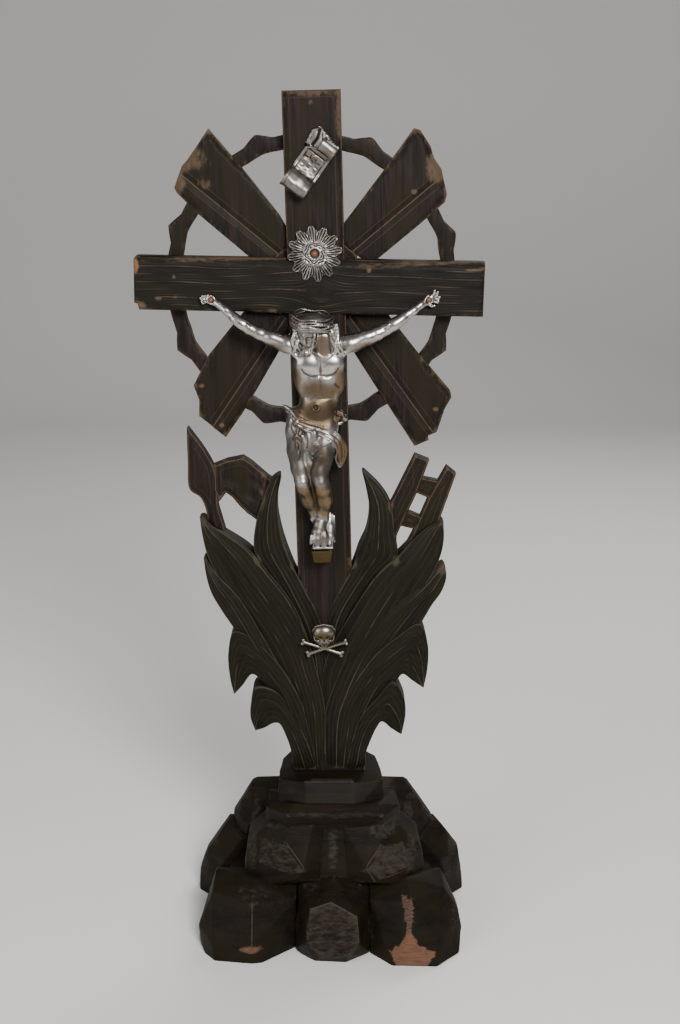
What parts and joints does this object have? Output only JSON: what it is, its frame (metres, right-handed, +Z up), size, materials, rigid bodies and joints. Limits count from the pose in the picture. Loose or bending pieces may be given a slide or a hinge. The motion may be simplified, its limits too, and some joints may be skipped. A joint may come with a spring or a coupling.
{
  "type": "standing wooden cross",
  "caption": "Dark carved wooden cross with a ring, rays and leaves, a metal figure and trim, tenoned into a base carved as rocks.",
  "frame": {"origin": "middle of the base's flat underside", "axes": "+Z up, the carved front faces -Y, +X to the viewer's right when facing the front"},
  "size_m": [0.1964, 0.096, 0.5003],
  "materials": {
    "base_wood": "dark brown stain, worn edges, satin",
    "board_wood": "near black stain over upright grain, worn edges, satin",
    "beam_wood": "near black stain over level grain with a knot, satin",
    "figure_metal": "dull cast white metal with dark recesses",
    "footrest_metal": "brown toned, dull",
    "scroll_metal": "dull pressed white metal",
    "rosette_metal": "dull pressed white metal",
    "skull_metal": "dull cast white metal",
    "nail_iron": "rusty"
  },
  "bodies": {
    "root": {"rock_base": "base_wood", "carved_board": "board_wood", "crossbeam": "beam_wood", "corpus": "figure_metal", "footrest": "footrest_metal", "scroll": "scroll_metal", "rosette": "rosette_metal", "skull_and_crossbones": "skull_metal", "rosette_nail": "nail_iron", "hand_nail_left": "nail_iron", "hand_nail_right": "nail_iron"}
  },
  "joints": []
}
